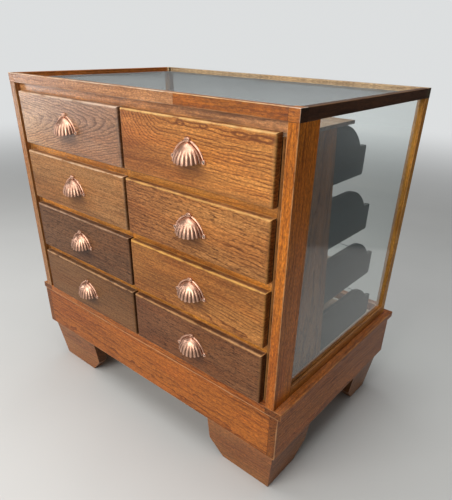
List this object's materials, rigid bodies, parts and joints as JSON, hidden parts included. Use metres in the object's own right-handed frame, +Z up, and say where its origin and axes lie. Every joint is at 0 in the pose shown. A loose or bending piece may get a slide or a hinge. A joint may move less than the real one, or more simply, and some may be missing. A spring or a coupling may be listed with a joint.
{
  "type": "haberdashery cabinet",
  "caption": "Glazed haberdashery counter cabinet in oak: sliding drawers with cup pulls, stepped glass-ended drawer boxes behind glass, deep plinth and bracket feet.",
  "frame": {"origin": "on the floor at the centre of the footprint, pulls and rear moulding included", "axes": "-Y out of the drawer fronts, +Y towards the glazed customer side, +X to the right seen from the drawer side, +Z up"},
  "size_m": [0.962, 0.639, 0.92],
  "materials": {
    "oak_case": "waxed oak, golden to dark brown",
    "oak_inner_rails": "waxed oak",
    "oak_base": "waxed reddish oak",
    "oak_drawer_fronts": "waxed oak with open figure",
    "stained_drawer_boxes": "near-black stained",
    "pale_inner_wood": "bare pale wood",
    "copper_pulls": "worn copper plate",
    "cabinet_glass": "clear polished plate",
    "drawer_end_glass": "clear sheet"
  },
  "bodies": {
    "cabinet": {"base_rails": "oak_case", "cap_frame": "oak_base", "centre_partition": "oak_case", "drawer_rails": "oak_inner_rails", "floor_board": "pale_inner_wood", "foot_front_left": "oak_base", "foot_front_right": "oak_base", "foot_rear_left": "oak_base", "foot_rear_right": "oak_base", "front_post_left": "oak_case", "front_post_right": "oak_case", "gable_left": "oak_case", "gable_right": "oak_case", "glass_left": "cabinet_glass", "glass_rear": "cabinet_glass", "glass_right": "cabinet_glass", "glass_top": "cabinet_glass", "header_strip": "oak_case", "plinth": "oak_base", "rear_post_left": "oak_case", "rear_post_right": "oak_case", "runners": "pale_inner_wood", "top_board": "pale_inner_wood", "top_rail_front": "oak_case", "top_rail_left": "oak_case", "top_rail_rear": "oak_case", "top_rail_right": "oak_case"},
    "drawer_1_left": {"drawer_1_front_left": "oak_drawer_fronts", "drawer_1_box_left": "stained_drawer_boxes", "drawer_1_end_left": "drawer_end_glass", "drawer_1_pull_left": "copper_pulls"},
    "drawer_1_right": {"drawer_1_front_right": "oak_drawer_fronts", "drawer_1_box_right": "stained_drawer_boxes", "drawer_1_end_right": "drawer_end_glass", "drawer_1_pull_right": "copper_pulls"},
    "drawer_2_left": {"drawer_2_front_left": "oak_drawer_fronts", "drawer_2_box_left": "stained_drawer_boxes", "drawer_2_end_left": "drawer_end_glass", "drawer_2_pull_left": "copper_pulls"},
    "drawer_2_right": {"drawer_2_front_right": "oak_drawer_fronts", "drawer_2_box_right": "stained_drawer_boxes", "drawer_2_end_right": "drawer_end_glass", "drawer_2_pull_right": "copper_pulls"},
    "drawer_3_left": {"drawer_3_front_left": "oak_drawer_fronts", "drawer_3_box_left": "stained_drawer_boxes", "drawer_3_end_left": "drawer_end_glass", "drawer_3_pull_left": "copper_pulls"},
    "drawer_3_right": {"drawer_3_front_right": "oak_drawer_fronts", "drawer_3_box_right": "stained_drawer_boxes", "drawer_3_end_right": "drawer_end_glass", "drawer_3_pull_right": "copper_pulls"},
    "drawer_4_left": {"drawer_4_front_left": "oak_drawer_fronts", "drawer_4_box_left": "stained_drawer_boxes", "drawer_4_end_left": "drawer_end_glass", "drawer_4_pull_left": "copper_pulls"},
    "drawer_4_right": {"drawer_4_front_right": "oak_drawer_fronts", "drawer_4_box_right": "stained_drawer_boxes", "drawer_4_end_right": "drawer_end_glass", "drawer_4_pull_right": "copper_pulls"}
  },
  "joints": [
    {"name": "drawer_1_left_slide", "type": "slide", "parent": "cabinet", "child": "drawer_1_left", "axis": [0, -1, 0], "range_m": [0, 0.257]},
    {"name": "drawer_1_right_slide", "type": "slide", "parent": "cabinet", "child": "drawer_1_right", "axis": [0, -1, 0], "range_m": [0, 0.257]},
    {"name": "drawer_2_left_slide", "type": "slide", "parent": "cabinet", "child": "drawer_2_left", "axis": [0, -1, 0], "range_m": [0, 0.332]},
    {"name": "drawer_2_right_slide", "type": "slide", "parent": "cabinet", "child": "drawer_2_right", "axis": [0, -1, 0], "range_m": [0, 0.332]},
    {"name": "drawer_3_left_slide", "type": "slide", "parent": "cabinet", "child": "drawer_3_left", "axis": [0, -1, 0], "range_m": [0, 0.406]},
    {"name": "drawer_3_right_slide", "type": "slide", "parent": "cabinet", "child": "drawer_3_right", "axis": [0, -1, 0], "range_m": [0, 0.406]},
    {"name": "drawer_4_left_slide", "type": "slide", "parent": "cabinet", "child": "drawer_4_left", "axis": [0, -1, 0], "range_m": [0, 0.45]},
    {"name": "drawer_4_right_slide", "type": "slide", "parent": "cabinet", "child": "drawer_4_right", "axis": [0, -1, 0], "range_m": [0, 0.45]}
  ]
}
